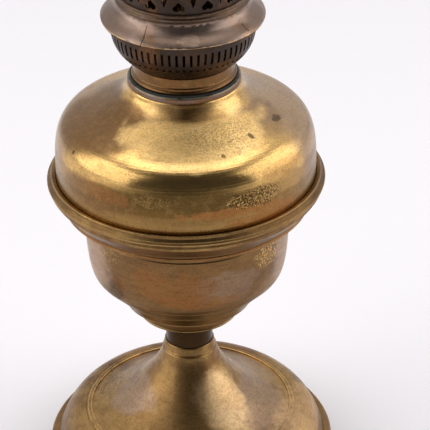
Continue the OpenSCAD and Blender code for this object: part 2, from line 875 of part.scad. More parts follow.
// Glass chimney with a straight base, a waist and a long tube
module chimney() {
  waist = [chimney_waist_r, z_glass + chimney_waist_z];
  base_top = [chimney_r, z_glass + chimney_waist_z - 16];
  flow = [chimney_tube_r, z_glass + chimney_waist_z + 26];
  line = concat(
    [[chimney_r, z_glass], base_top],
    curve(base_top, waist, [0, 0.5], [1, 0.5], 12),
    curve(waist, flow, [0, 0.3], [1, 0.55], 8),
    [[chimney_mouth_r, z_glass + chimney_h - 1], [chimney_mouth_r, z_glass + chimney_h]]
  );
  color("lightblue", 0.4)
    spun(line, glass_wall);
}

foot_shell();
foot_weight();
base_plate();
tie_rod();
rod_washer();
rod_nut();
stem_ring();
stem_tube();
font_cup();
font_boss();
font_bowl();
font_floor();
font_rim();
font_bead();
font_dome();
font_collar();
seal_ring();
burner_base();
burner_floor();
slotted_basket();
saucer_flange();
gallery_bead();
pierced_gallery();
chimney_holder();
outer_wick_tube();
inner_draught_tube();
air_port();
spindle_bracket();
spindle_sleeve();
spindle();
wick_wheels();
knob();
knob_rivet();
wick();
chimney();
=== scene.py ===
"""Looks of a brass table oil lamp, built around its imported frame."""
import json
import math

import bpy
from bpy.props import FloatProperty, FloatVectorProperty, IntProperty, PointerProperty
from mathutils import Matrix, Vector


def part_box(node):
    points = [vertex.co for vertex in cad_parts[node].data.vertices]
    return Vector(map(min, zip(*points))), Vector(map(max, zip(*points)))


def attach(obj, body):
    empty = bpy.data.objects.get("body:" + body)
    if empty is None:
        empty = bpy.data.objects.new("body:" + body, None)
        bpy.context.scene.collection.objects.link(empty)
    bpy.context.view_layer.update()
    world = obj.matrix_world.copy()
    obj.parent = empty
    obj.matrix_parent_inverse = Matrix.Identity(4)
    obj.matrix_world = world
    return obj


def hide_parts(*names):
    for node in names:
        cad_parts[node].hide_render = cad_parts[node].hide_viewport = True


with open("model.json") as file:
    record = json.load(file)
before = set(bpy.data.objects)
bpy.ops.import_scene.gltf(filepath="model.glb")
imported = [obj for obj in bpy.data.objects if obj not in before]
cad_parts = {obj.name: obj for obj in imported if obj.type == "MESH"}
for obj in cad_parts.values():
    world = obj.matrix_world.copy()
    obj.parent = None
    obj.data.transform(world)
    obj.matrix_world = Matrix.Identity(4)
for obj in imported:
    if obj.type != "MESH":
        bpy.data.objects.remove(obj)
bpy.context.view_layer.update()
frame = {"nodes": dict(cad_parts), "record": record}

bl_info = {
    "name": "Brass Oil Lamp",
    "version": (1, 0, 0),
    "blender": (4, 5, 0),
    "location": "View3D > Sidebar > Oil Lamp",
    "description": "Finishes and details of an old brass table oil lamp",
    "category": "Object",
}


def colour(name, description, default):
    """A colour property, linear red, green and blue."""
    return FloatVectorProperty(
        name=name, description=description, default=default, size=3, min=0, max=1, subtype="COLOR")


def length(name, description, default):
    """A length property in metres."""
    return FloatProperty(name=name, description=description, default=default, min=0, unit="LENGTH")


def angle(name, description, default):
    """An angle property, given in degrees and kept in radians."""
    return FloatProperty(
        name=name, description=description, default=math.radians(default), subtype="ANGLE")


# Each crack in the flange is two straight saw cuts: turn from the front in degrees, the radii
# where the cut starts and ends in metres, and how far it leans off the radius in degrees.
CRACKS = (
    (-30.5, 0.0352, 0.0395, 8), (-30.0, 0.0390, 0.0440, -7),
    (51.5, 0.0372, 0.0408, -9), (52.3, 0.0404, 0.0416, 10))

# Each softbox: name, place, width and depth in metres, power in watts.
SOFTBOXES = (
    ("softbox_left", (-1.60, -0.35, 0.95), (1.9, 1.7), 16.0),
    ("softbox_right", (1.65, -0.14, 0.90), (1.9, 1.7), 13.5),
    ("softbox_top", (0.0, 0.30, 1.90), (1.8, 1.4), 14.0))

SAME_POINT = 1e-6        # points closer than this are one point, in metres
SMOOTH_BELOW = 40        # edges that turn less than this are shaded smooth, in degrees


class OilLampColours(bpy.types.PropertyGroup):
    """Colours of the lamp's metals, wick, glass and stage."""
    # gold also paints the highlight lines on the foot's ring and round the bowl's bead and rim
    gold: colour("Rubbed brass", "Brass where hands have kept it bright", (0.76, 0.475, 0.165))
    ochre: colour("Old brass", "Brass that has dulled", (0.41, 0.250, 0.090))
    # brown also paints the dark reflections below the dome's shoulder and down the front of the
    # foot, and shade in the bowl's creases
    brown: colour("Brown patina", "Brown film over brass", (0.20, 0.106, 0.042))
    # umber also paints shade in the bowl's creases and next to the gallery's bead, the dark
    # reflection at the front of the neck, and shade on the stem
    umber: colour("Dark patina", "Darkest film in folds and necks", (0.055, 0.031, 0.013))
    # pink also paints reflections of the pale surroundings on the sides of the dome and the foot
    pink: colour("Grey bloom and reflection", "Grey pink bloom on worn brass, and painted reflections of pale surroundings", (0.40, 0.285, 0.21))
    # rust also paints part of the dark reflection at the front of the neck and shade in a crease
    # on the bowl
    rust: colour("Orange stain", "Copper coloured stains", (0.36, 0.15, 0.045))
    # soot also darkens the stem as painted shade under the font
    soot: colour("Soot", "Sooty burner brass", (0.022, 0.015, 0.013))
    bronze: colour("Flange brass", "Grey brown film on the flange", (0.26, 0.185, 0.15))
    verdigris: colour("Verdigris", "Green corrosion at the neck", (0.36, 0.42, 0.33))
    # painted highlight colour for the front of the dome
    polish: colour("Dome highlight", "Painted highlight high on the dome", (0.98, 0.66, 0.26))
    # painted highlight colours for the two sides of the neck
    honey: colour("Left neck highlight", "Painted highlight to the left of the neck", (0.95, 0.62, 0.26))
    straw: colour("Right neck highlight", "Painted highlight to the right of the neck", (0.95, 0.64, 0.26))
    glint: colour("Bare specks", "Specks of bare metal", (1.0, 0.80, 0.42))
    # painted highlight colour for the foot's slope
    slope: colour("Foot's highlight", "Painted highlight on the foot's slope", (0.85, 0.58, 0.30))
    tan: colour("Foot's skirt", "Rubbed brass low on the foot", (0.72, 0.46, 0.22))
    # painted dark reflection colours for the dome below its shoulder
    olive: colour("Olive reflection", "Painted dark reflection under the shoulder", (0.062, 0.036, 0.008))
    tobacco: colour("Tobacco reflection", "Painted dark reflection above the bead", (0.20, 0.110, 0.032))
    # painted reflection colour for the bowl's sides
    dusty: colour("Pale reflection", "Painted reflection of pale surroundings on the bowl's sides", (0.50, 0.34, 0.23))
    sooty: colour("Basket brass", "Sooty brass of the slotted basket", (0.060, 0.044, 0.036))
    pewter: colour("Worn flange", "Bright parts of the flange", (0.33, 0.245, 0.205))
    iron: colour("Iron", "Cast weight in the foot", (0.06, 0.055, 0.052))
    iron_rust: colour("Iron rust", "Rust on the weight", (0.16, 0.08, 0.045))
    steel: colour("Steel", "Turned rod", (0.48, 0.47, 0.45))
    steel_rust: colour("Steel rust", "Rust on the rod", (0.20, 0.15, 0.11))
    rubber: colour("Rubber", "Black sealing ring", (0.012, 0.011, 0.010))
    rubber_bloom: colour("Rubber bloom", "Greyed sealing ring", (0.04, 0.036, 0.03))
    cotton: colour("Cotton", "Woven wick", (0.72, 0.66, 0.52))
    char: colour("Char", "Burnt top of the wick", (0.02, 0.015, 0.012))
    glass: colour("Glass", "Clear chimney glass", (0.97, 0.985, 0.98))
    floor: colour("Floor", "Pale studio floor", (0.90, 0.88, 0.905))


class OilLampSizes(bpy.types.PropertyGroup):
    """Sizes of the hand-made details."""
    crack: length("Crack width", "Width of the cracks in the flange", 0.00036)
    dent: length("Edge wave", "How far the flange's thin edge has bent up", 0.00022)
    wick_wall: length("Wick wall", "Thickness of the woven wick", 0.0023)
    wick_split: angle("Wick split", "Gap in the wick round the air port", 44.0)
    wick_gap: length("Wick gap", "Free play below the wick in its tubes", 0.0001)
    wick_tuck: length("Wick tuck", "How far the wick's outside stays clear of its tube", 0.00002)
    weave: length("Weave depth", "Depth of the weave", 0.00014)
    singed: length("Singed edge", "Height of the wick's thinned top edge", 0.0012)
    fray: length("Fray", "How unevenly the wick's top has burnt, and room for it", 0.0003)
    weft_rows: IntProperty(
        name="Weft rows", description="Rows of weft up the wick", default=170, min=8)
    warp_threads: IntProperty(
        name="Warp threads", description="Threads round the wick", default=110, min=12)


class OilLampStage(bpy.types.PropertyGroup):
    """Where the camera and the lights stand."""
    lens: FloatProperty(
        name="Focal length", description="Focal length in millimetres", default=179.89)
    back: length("Camera distance", "Camera's distance in front of the lamp's axis", 0.99498)
    height: length("Camera height", "Camera's height above the floor", 0.74424)
    pitch: angle("Camera pitch", "How far the camera looks down", 30.836)
    yaw: angle("Camera yaw", "How far the camera turns to the right", 0.869)
    roll: angle("Camera roll", "How far the camera leans", -0.717)
    aim: length("Lights' aim", "Height on the lamp's axis that the lights face", 0.16)
    floor_radius: length("Floor radius", "Radius of the round floor", 6)


class Value:
    """A shader socket that takes part in sums."""

    def __init__(self, shop, socket):
        self.shop, self.socket = shop, socket

    def calc(self, operation, *others, clamp=False):
        """A Math node on this value and any others."""
        settings = {"operation": operation, "use_clamp": clamp}
        return self.shop.node("Math", settings, dict(enumerate((self, *others))))

    def __add__(self, other):
        return self.calc("ADD", other)

    def __sub__(self, other):
        return self.calc("SUBTRACT", other)

    def __mul__(self, other):
        return self.calc("MULTIPLY", other)

    def __truediv__(self, other):
        return self.calc("DIVIDE", other)

    def __rsub__(self, other):
        return self.shop.node("Math", {"operation": "SUBTRACT"}, {0: other, 1: self})

    def __rtruediv__(self, other):
        return self.shop.node("Math", {"operation": "DIVIDE"}, {0: other, 1: self})

    __radd__ = __add__
    __rmul__ = __mul__

    def clamp(self):
        """This value kept between 0 and 1."""
        return self.calc("ADD", 0, clamp=True)

    def step(self, low, high):
        """0 below low and 1 above high, with a soft passage between them."""
        return self.shop.node(
            "MapRange", {"interpolation_type": "SMOOTHSTEP"},
            {"Value": self, "From Min": low, "From Max": high})


class Shop:
    """Makes the nodes of one node tree."""

    def __init__(self, tree):
        self.tree = tree

    def plug(self, socket, value):
        """Links a value to a socket, or sets the socket to a plain number, vector or colour."""
        if isinstance(value, Value):
            self.tree.links.new(value.socket, socket)
        elif socket.type == "RGBA":
            socket.default_value = (*value[:3], 1)
        else:
            socket.default_value = value

    def node(self, kind, settings, inputs, output=0):
        """Adds a shader node: its settings first, then the values or links of its sockets."""
        made = self.tree.nodes.new("ShaderNode" + kind)
        for key, value in settings.items():
            setattr(made, key, value)
        for key, value in inputs.items():
            self.plug(made.inputs[key], value)
        return Value(self, made.outputs[output])

    def mix(self, factor, a, b):
        """Colour a turned into colour b by the factor."""
        return self.node("Mix", {"data_type": "RGBA"}, {0: factor, 6: a, 7: b}, 2)


class Finish(Shop):
    """One node material under construction."""

    def __init__(self, name):
        self.material = bpy.data.materials.new(name)
        self.material.use_nodes = True
        super().__init__(self.material.node_tree)
        self.shader = self.tree.nodes["Principled BSDF"]
        self.place = self.node("TexCoord", {}, {}, "Object")
        self.x, self.y, self.z = (
            self.node("SeparateXYZ", {}, {0: self.place}, axis) for axis in "XYZ")
        self.radius = (self.x * self.x + self.y * self.y).calc("SQRT")
        self.base = 0.0
        self.bumps = []

    def noise(self, scale, detail=4, rough=0.55, vector=None, distort=0.0):
        """Cloudy noise from 0 to 1, scale in features per metre."""
        sockets = {"Vector": vector or self.place, "Scale": scale, "Detail": detail,
                   "Roughness": rough, "Distortion": distort}
        return self.node("TexNoise", {}, sockets)

    def cells(self, scale):
        """Distance to the nearest of many scattered points."""
        return self.node("TexVoronoi", {}, {"Vector": self.place, "Scale": scale})

    def around(self, along, up):
        """Coordinates that run round the lamp: few features along, many up."""
        radius = self.radius + 0.001     # never zero, on the axis either
        return self.node("CombineXYZ", {}, {
            0: self.x / radius * along, 1: self.y / radius * along, 2: self.z * up})

    def patch(self, turn, height, width, tall, ragged=0.5, scale=60.0):
        """A ragged spot at one turn from the front and one height above the finish's base."""
        c, s = math.cos(math.radians(turn)), math.sin(math.radians(turn))
        along = (self.x * c + self.y * s) / width
        up = (self.z - (self.base + height)) / tall
        front = (self.x * s - self.y * c).calc("GREATER_THAN", 0.0)
        spread = 1 - along * along - up * up + (self.noise(scale, 5) - 0.5) * (2 * ragged)
        return spread.step(0.0, 0.6) * front

    def bump(self, height, distance, strength):
        """Adds relief of the given height in metres."""
        self.bumps.append((height, distance, strength))

    def finish(self, base, roughness, metallic=1.0, **constants):
        """Plugs the finish into the shader and returns the material."""
        sockets = {"Base Color": base, "Roughness": roughness, "Metallic": metallic}
        sockets.update((name.replace("_", " "), value) for name, value in constants.items())
        for height, distance, strength in self.bumps:
            relief = {"Height": height, "Distance": distance, "Strength": strength}
            if "Normal" in sockets:
                relief["Normal"] = sockets["Normal"]
            sockets["Normal"] = self.node("Bump", {}, relief)
        for name, value in sockets.items():
            self.plug(self.shader.inputs[name], value)
        return self.material


def palette():
    """The colours chosen in the panel, as plain tuples."""
    group = bpy.context.scene.oil_lamp_colours
    return {key: tuple(getattr(group, key)) for key in group.__annotations__}


def old_brass(name, bright, dull, dark, amount, rough, rings=0.0, above=None, marks=()):
    """Worn brass: a bright metal under a cloudy film, with fine scratches, pits and stains.

    amount is how much of it the film covers, rough its smoothest roughness and rings how
    strongly the turning lines show. Each mark gives a mask, a tint, its share and added
    roughness, and its heights are measured from the bottom of the node named by above.
    """
    f = Finish(name)
    if above:
        f.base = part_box(above)[0].z
    cloud = f.noise(14, 6, 0.6, distort=0.4)
    fine = f.noise(90, 6, 0.65)
    grain = f.noise(1100, 3, 0.6)
    drawn = f.noise(1.0, 5, 0.65, f.around(2.2, 160))
    lines = f.noise(1.0, 4, 0.7, f.around(7, 1700))
    film = (cloud * 0.40 + fine * 0.35 + drawn * 0.25 + (amount - 0.5)).step(0.42, 0.60)
    base = f.mix(film, bright, dull)
    deep = (f.noise(26, 7, 0.7, distort=0.8) + (amount - 0.5) * 0.6).step(0.55, 0.75)
    base = f.mix(deep * 0.55, base, dark)
    copper = f.noise(20, 6, 0.65, distort=1.2).step(0.50, 0.70)
    base = f.mix(copper * 0.40, base, palette()["rust"])
    streak = (lines - 0.5).calc("ABSOLUTE")
    base = f.mix(streak * (0.5 + 1.6 * rings), base, dark)
    roughness = (rough + film * 0.07 + deep * 0.08 + (grain - 0.5) * 0.10
                 + (lines - 0.5) * (0.1 + 0.3 * rings))
    for mask, tint, share, rougher in (mark(f) for mark in marks):
        base = f.mix(mask * share, base, tint)
        roughness = roughness + mask * rougher
    pits = f.cells(430).step(0.0, 0.2)
    pitted = (f.noise(34, 4) - 0.5).step(0.06, 0.16)
    base = f.mix((1 - pits) * pitted * 0.6, base, dark)
    dust = (f.noise(1100, 4, 0.65) - 0.5).step(-0.02, 0.14)
    base = f.mix(dust * 0.30, base, dark)
    hazy = f.noise(230, 5, 0.7).step(0.48, 0.62)
    base = f.mix(hazy * 0.22, base, dull)
    scored = f.noise(1.0, 5, 0.75, f.around(5, 650)).step(0.50, 0.66)
    base = f.mix(scored * (0.14 + 0.16 * rings), base, dark)
    f.bump(f.noise(11, 2, 0.4), 0.0016, 0.30)
    f.bump(fine, 0.00030, 0.40)
    f.bump(grain, 0.000035, 0.5)
    f.bump(lines, 0.00003 + 0.00007 * rings, 0.5)
    f.bump(pits, 0.00012, 0.3)
    return f.finish(base, roughness.clamp())


def stain(turn, height, width, tall, tint, share, rougher=0.06, ragged=0.6, scale=70.0):
    """A patch of another colour on the brass; stains, and also painted highlights and reflections.
    """
    return lambda f: (f.patch(turn, height, width, tall, ragged, scale), tint, share, rougher)


def specks(turn, height, width, tall, tint, share, rougher=0.05, size=900.0, low=0.5):
    """A patch that breaks up into tiny specks."""
    def mark(f):
        dots = f.noise(size, 2, 0.6).step(low, low + 0.08)
        return f.patch(turn, height, width, tall, 0.9, 120) * dots, tint, share, rougher
    return mark


def band(low, high, tint, share, rougher=0.03, ragged=0.004):
    """A ring of another colour between two heights."""
    soft = 0.0015

    def mark(f):
        start, end = f.base + low, f.base + high
        wavy = f.z + (f.noise(55, 5) - 0.5) * ragged
        over = wavy.step(start - soft, start + soft)
        return over * (1 - wavy.step(end - soft, end + soft)), tint, share, rougher
    return mark


def circle(out, tint, share, half=0.00035, rougher=-0.03):
    """A thin ring of another colour at one radius, broken up in places; the foot's painted
    highlight lines are drawn with it.
    """
    def mark(f):
        # noise that breaks the ring up in places
        worn = f.noise(120, 4).step(0.25, 0.55)
        away = (f.radius - out).calc("ABSOLUTE").step(half * 0.6, half * 1.5)
        return (1 - away) * worn, tint, share, rougher
    return mark


def inner_ring(out, tint, share, rougher):
    """Patchy corrosion inside one radius."""
    def mark(f):
        patchy = f.noise(170, 4).step(0.36, 0.5)
        return patchy * (1 - f.radius.step(out, out + 0.0004)), tint, share, rougher
    return mark


def rubbed_edge(out, height, tint, share, rougher):
    """Metal rubbed bright outside one radius and below one height."""
    def mark(f):
        outside = f.radius.step(out, out + 0.0004)
        below = 1 - f.z.step(f.base + height, f.base + height + 0.0006)
        return outside * below * f.noise(160, 4).step(0.3, 0.6), tint, share, rougher
    return mark


def brass_finishes():
    """All of the lamp's metals, by material slot."""
    c = palette()
    made = {}
    made["foot_brass"] = old_brass(
        "foot_brass", c["ochre"], c["brown"], c["umber"], 0.50, 0.31, rings=0.25,
        above="foot_shell", marks=(
            # painted highlight lines on the foot's double ring, and a dark line just outside it
            circle(0.0562, c["gold"], 0.65),
            circle(0.0583, c["gold"], 0.65),
            circle(0.0592, c["umber"], 0.45),
            # film low on the foot, patches and specks on its slope
            band(0.0, 0.020, c["brown"], 0.5),
            stain(-40, 0.046, 0.020, 0.016, c["brown"], 0.45, ragged=0.8),
            # painted reflections of the pale surroundings on both sides of the foot
            stain(-75, 0.040, 0.020, 0.010, c["pink"], 0.60, ragged=0.8),
            stain(70, 0.036, 0.030, 0.012, c["pink"], 0.55, ragged=0.8),
            stain(47, 0.045, 0.010, 0.008, c["rust"], 0.45),
            specks(47, 0.0445, 0.006, 0.004, c["gold"], 0.6),
            # a painted highlight on the foot's slope
            stain(38, 0.044, 0.018, 0.016, c["slope"], 0.65, ragged=0.8),
            # rubbed brass low on the foot's right side
            stain(80, 0.022, 0.040, 0.008, c["tan"], 0.60, ragged=0.9),
            specks(-118, 0.030, 0.020, 0.010, c["umber"], 0.6),
            # a painted dark reflection down the front of the foot
            stain(0, 0.052, 0.010, 0.036, c["brown"], 0.30, ragged=0.3),
        ))
    made["font_brass"] = old_brass(
        "font_brass", c["gold"], c["ochre"], c["umber"], 0.43, 0.21, rings=0.12,
        above="font_dome", marks=(
            # painted reflections of the pale surroundings on both sides of the dome
            stain(-98, 0.0288, 0.038, 0.030, c["pink"], 0.70, ragged=0.4),
            stain(95, 0.0288, 0.046, 0.030, c["pink"], 0.75, ragged=0.4),
            # painted dark reflection below the shoulder, darkest at the front
            band(-0.0242, 0.0263, c["brown"], 0.45, ragged=0.010),
            stain(-3, 0.0208, 0.056, 0.012, c["olive"], 0.84, ragged=0.2, scale=40.0),
            band(-0.0242, 0.0178, c["tobacco"], 0.68, ragged=0.008),
            stain(-44, 0.0188, 0.030, 0.009, c["brown"], 0.65, ragged=0.6, scale=40.0),
            stain(2, 0.0123, 0.050, 0.004, c["ochre"], 0.40, ragged=0.7),
            # brown patches on the upper left and right
            stain(-70, 0.0438, 0.040, 0.012, c["brown"], 0.90, ragged=0.3),
            stain(-52, 0.0468, 0.024, 0.009, c["brown"], 0.75, ragged=0.3),
            stain(62, 0.0458, 0.020, 0.006, c["brown"], 0.35, ragged=0.8),
            # painted dark reflection at the front of the neck, between painted highlights on its
            # two sides
            stain(0, 0.0558, 0.016, 0.0070, c["rust"], 0.55, ragged=0.9),
            stain(2, 0.0578, 0.010, 0.0040, c["umber"], 0.40, ragged=0.9),
            stain(-22, 0.0548, 0.012, 0.0070, c["honey"], 0.40, ragged=0.2),
            stain(30, 0.0518, 0.016, 0.0080, c["straw"], 0.40, ragged=0.2),
            stain(24, 0.0513, 0.010, 0.005, c["rust"], 0.35),
            # orange stains low on the dome
            stain(20, 0.0158, 0.030, 0.0034, c["rust"], 0.75, ragged=1.6, scale=150.0),
            stain(38, 0.0098, 0.026, 0.0050, c["rust"], 0.65, ragged=1.4, scale=120.0),
            stain(47, 0.0303, 0.018, 0.0050, c["rust"], 0.30, ragged=1.4, scale=120.0),
            stain(-37, 0.0218, 0.016, 0.0050, c["rust"], 0.40, ragged=1.4, scale=120.0),
            # a painted highlight high on the dome's front, then bright speckled places
            stain(8, 0.0443, 0.040, 0.0075, c["polish"], 0.85, rougher=0.20, ragged=0.9),
            specks(24, 0.0458, 0.020, 0.0035, c["gold"], 0.9, low=0.48),
            specks(24, 0.0453, 0.024, 0.0050, c["brown"], 0.55, size=1000.0, low=0.53),
            specks(24, 0.0453, 0.024, 0.0050, c["glint"], 0.9, size=1300.0, low=0.55),
            specks(31, 0.0213, 0.020, 0.0065, c["umber"], 0.85, low=0.47),
            specks(30, 0.0208, 0.018, 0.0060, c["gold"], 0.8, size=1150.0, low=0.54),
            specks(-15, 0.0233, 0.012, 0.004, c["gold"], 0.20, size=1000.0),
            # small dark spots
            stain(43, 0.0437, 0.0016, 0.0009, c["umber"], 0.8, ragged=0.2),
            stain(71, 0.0434, 0.0040, 0.0010, c["umber"], 0.7, ragged=0.9, scale=400.0),
            stain(-61, 0.0341, 0.0012, 0.0012, c["umber"], 0.8, ragged=0.4),
            stain(20, 0.0414, 0.0014, 0.0006, c["umber"], 0.7, ragged=0.3),
        ))
    made["bowl_brass"] = old_brass(
        "bowl_brass", c["ochre"], c["brown"], c["umber"], 0.52, 0.30, rings=0.9,
        above="font_bowl", marks=(
            # painted shade in the creases and painted highlight lines round the bead and the rim
            band(0.0441, 0.0456, c["rust"], 0.8, ragged=0.0008),
            band(0.0456, 0.0531, c["brown"], 0.60, ragged=0.001),
            band(0.0576, 0.0583, c["gold"], 0.50, ragged=0.0004),
            band(0.0616, 0.0623, c["gold"], 0.50, ragged=0.0004),
            band(0.0586, 0.0613, c["umber"], 0.50, ragged=0.0006),
            # brown front, orange stains and specks on the bowl
            stain(0, 0.0196, 0.050, 0.026, c["brown"], 0.80, ragged=0.6, scale=40.0),
            stain(22, 0.0176, 0.020, 0.012, c["pink"], 0.35, ragged=1.2, scale=90.0),
            stain(-48, 0.0106, 0.009, 0.010, c["umber"], 0.50, ragged=1.0, scale=110.0),
            stain(-14, 0.0186, 0.030, 0.012, c["rust"], 0.45, ragged=1.4, scale=90.0),
            stain(6, 0.0096, 0.026, 0.005, c["rust"], 0.45, ragged=1.4, scale=110.0),
            specks(52, 0.0286, 0.014, 0.008, c["gold"], 0.8),
            specks(-55, 0.0316, 0.016, 0.008, c["gold"], 0.4),
            # painted reflections of the pale surroundings on the bowl's sides
            stain(-82, 0.0216, 0.032, 0.030, c["dusty"], 0.85),
            stain(84, 0.0216, 0.030, 0.030, c["dusty"], 0.75),
        ))
    # the stem's near-black brass is partly dark patina and partly painted shade under the font
    made["stem_brass"] = old_brass(
        "stem_brass", c["umber"], c["umber"], c["soot"], 0.5, 0.28, rings=0.3,
        above="stem_tube", marks=(
            band(0.0177, 0.0577, c["ochre"], 0.62, ragged=0.003),
            band(0.0402, 0.0442, c["umber"], 0.35, ragged=0.001)))
    made["collar_brass"] = old_brass(
        "collar_brass", c["brown"], c["bronze"], c["umber"], 0.5, 0.36, marks=(
            inner_ring(0.0290, c["verdigris"], 0.9, 0.3),))
    made["burner_brass"] = old_brass(
        "burner_brass", c["ochre"], c["brown"], c["umber"], 0.55, 0.28, rings=0.4)
    made["basket_brass"] = old_brass(
        "basket_brass", c["sooty"], c["umber"], c["soot"], 0.45, 0.40,
        above="slotted_basket", marks=(
            specks(8, 0.0044, 0.030, 0.0030, c["ochre"], 0.6, size=700.0, low=0.55),))
    made["flange_brass"] = old_brass(
        "flange_brass", c["pewter"], c["bronze"], c["brown"], 0.42, 0.33, rings=0.35,
        above="saucer_flange", marks=(
            stain(-60, 0.0041, 0.030, 0.005, c["umber"], 0.45, ragged=0.9, scale=45.0),
            stain(-12, 0.0031, 0.018, 0.0022, c["umber"], 0.6, ragged=0.7),
            stain(28, 0.0036, 0.022, 0.0030, c["umber"], 0.5, ragged=0.9, scale=45.0),
            stain(66, 0.0046, 0.020, 0.0040, c["umber"], 0.4, ragged=0.9),
            stain(5, 0.0034, 0.007, 0.0026, c["pink"], 0.55, ragged=1.4, scale=200.0),
            # painted shade on the flange next to the gallery's bead
            band(0.0098, 0.0196, c["umber"], 0.80),
            rubbed_edge(0.0417, 0.0004, c["gold"], 0.75, -0.05)))
    made["tube_brass"] = old_brass(
        "tube_brass", c["ochre"], c["brown"], c["umber"], 0.5, 0.3, rings=0.3)
    return made


def rough_iron():
    """Cast iron with rust, for the weight in the foot."""
    f = Finish("weight_iron")
    c = palette()
    cast = f.noise(260, 6, 0.7)
    stain = f.noise(40, 5, 0.6).step(0.5, 0.7)
    base = f.mix(stain, c["iron"], c["iron_rust"])
    f.bump(cast, 0.0006, 0.7)
    return f.finish(base, 0.55 + cast * 0.25, 0.8)


def turned_steel():
    """Steel with turning lines, for the tie rod."""
    f = Finish("rod_steel")
    c = palette()
    lines = f.noise(1.0, 3, 0.6, f.around(6, 2200))
    stain = f.noise(120, 5, 0.7).step(0.52, 0.75)
    base = f.mix(stain, c["steel"], c["steel_rust"])
    f.bump(lines, 0.00006, 0.5)
    return f.finish(base, 0.28 + stain * 0.3 + (lines - 0.5) * 0.2)


def black_seal():
    """Greyed black rubber, for the sealing ring."""
    f = Finish("seal_rubber")
    c = palette()
    grain = f.noise(700, 4, 0.7)
    base = f.mix(f.noise(60, 4), c["rubber"], c["rubber_bloom"])
    f.bump(grain, 0.00008, 0.6)
    return f.finish(base, 0.6 + (grain - 0.5) * 0.3, 0.0)


def woven_cotton():
    """Cotton threads, burnt at the top edge."""
    f = Finish("wick_cotton")
    c = palette()
    warp = f.noise(1.0, 2, 0.5, f.around(260, 30))
    weft = (f.z * 5200).calc("SINE") * 0.5 + 0.5
    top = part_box("wick")[1].z
    char = (f.z + f.noise(300, 4) * 0.0016).step(top - 0.004, top - 0.0012)
    base = f.mix(warp * 0.5 + weft * 0.3, c["cotton"], tuple(0.6 * v for v in c["cotton"]))
    base = f.mix(char, base, c["char"])
    f.bump(warp * 0.6 + weft * 0.4, 0.0003, 0.8)
    return f.finish(base, 0.85, 0.0)


def clear_glass():
    """Clear glass with a breath of smoke."""
    f = Finish("clear_glass")
    smoke = f.noise(30, 5, 0.6).step(0.45, 0.8)
    f.bump(f.noise(22, 3, 0.5), 0.0006, 0.4)
    return f.finish(
        palette()["glass"], 0.02 + smoke * 0.04, 0.0, Transmission_Weight=1.0, IOR=1.47)


def slots():
    """Every material by its slot in the record."""
    made = brass_finishes()
    made.update(weight_iron=rough_iron(), rod_steel=turned_steel(), seal_rubber=black_seal(),
                wick_cotton=woven_cotton(), clear_glass=clear_glass())
    return made


class OILLAMP_OT_finishes(bpy.types.Operator):
    """Give every frame node its finish"""
    bl_idname = "oil_lamp.finishes"
    bl_label = "Finishes"

    def execute(self, context):
        made = slots()
        for part in frame["record"]["subparts"]:
            mesh = frame["nodes"][part["node"]].data
            mesh.materials.clear()
            mesh.materials.append(made[part["material_slot"]])
        return {"FINISHED"}


def only(*pieces):
    """Leaves just these objects selected, the last one active."""
    if bpy.context.object and bpy.context.object.mode != "OBJECT":
        bpy.ops.object.mode_set(mode="OBJECT")
    bpy.ops.object.select_all(action="DESELECT")
    for piece in pieces:
        piece.select_set(True)
        bpy.context.view_layer.objects.active = piece


def merged_copy(node, name):
    """A copy of a frame node with its loose triangles joined up."""
    piece = bpy.data.objects.new(name, frame["nodes"][node].data.copy())
    bpy.context.scene.collection.objects.link(piece)
    only(piece)
    bpy.ops.object.mode_set(mode="EDIT")
    bpy.ops.mesh.select_all(action="SELECT")
    bpy.ops.mesh.remove_doubles(threshold=SAME_POINT)
    bpy.ops.object.mode_set(mode="OBJECT")
    return piece


def hand_over(piece, node, body):
    """Lets a finished piece stand for a frame node."""
    only(piece)
    bpy.ops.object.transform_apply(location=True, rotation=True, scale=True)
    piece.data.materials.clear()
    piece.data.materials.append(frame["nodes"][node].data.materials[0])
    bpy.ops.object.shade_smooth_by_angle(angle=math.radians(SMOOTH_BELOW))
    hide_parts(node)
    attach(piece, body)


class OILLAMP_OT_flange(bpy.types.Operator):
    """Split the saucer flange where its thin edge has cracked"""
    bl_idname = "oil_lamp.flange"
    bl_label = "Saucer flange"

    def execute(self, context):
        sizes = context.scene.oil_lamp_sizes
        flange = merged_copy("saucer_flange", "worn_flange")
        low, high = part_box("saucer_flange")
        cuts = [self.saw_cut(sizes.crack, low.z, high.z, *crack) for crack in CRACKS]
        for cut in cuts:
            only(flange)
            saw = flange.modifiers.new("crack", "BOOLEAN")
            saw.operation, saw.solver, saw.object = "DIFFERENCE", "EXACT", cut
            bpy.ops.object.modifier_apply(modifier=saw.name)
            bpy.data.objects.remove(cut)
        thin = 0.84     # the edge bends outside this share of the radius
        for vertex in flange.data.vertices:
            out = math.hypot(vertex.co.x, vertex.co.y)
            turn = math.atan2(vertex.co.x, -vertex.co.y)
            share = max(0.0, (out / high.x - thin) / (1 - thin)) ** 2
            wave = 0.6 * math.sin(3 * turn + 1) + 0.4 * math.sin(7 * turn)
            vertex.co.z += share * sizes.dent * (wave + 1)
        hand_over(flange, "saucer_flange", "burner")
        return {"FINISHED"}

    def saw_cut(self, width, bottom, top, turn, start, end, lean):
        """A thin upright blade that passes through the flange from one radius to another."""
        out, spare = (start + end) / 2, 0.004
        only()
        bpy.ops.mesh.primitive_cube_add(size=1, location=(0, 0, 0))
        cut = bpy.context.object
        cut.dimensions = (width, end - start, top - bottom + spare)
        cut.rotation_euler.z = math.radians(turn + lean)
        cut.location = (out * math.sin(math.radians(turn)), -out * math.cos(math.radians(turn)),
                        (bottom + top) / 2)
        bpy.ops.object.transform_apply(location=True, rotation=True, scale=True)
        return cut


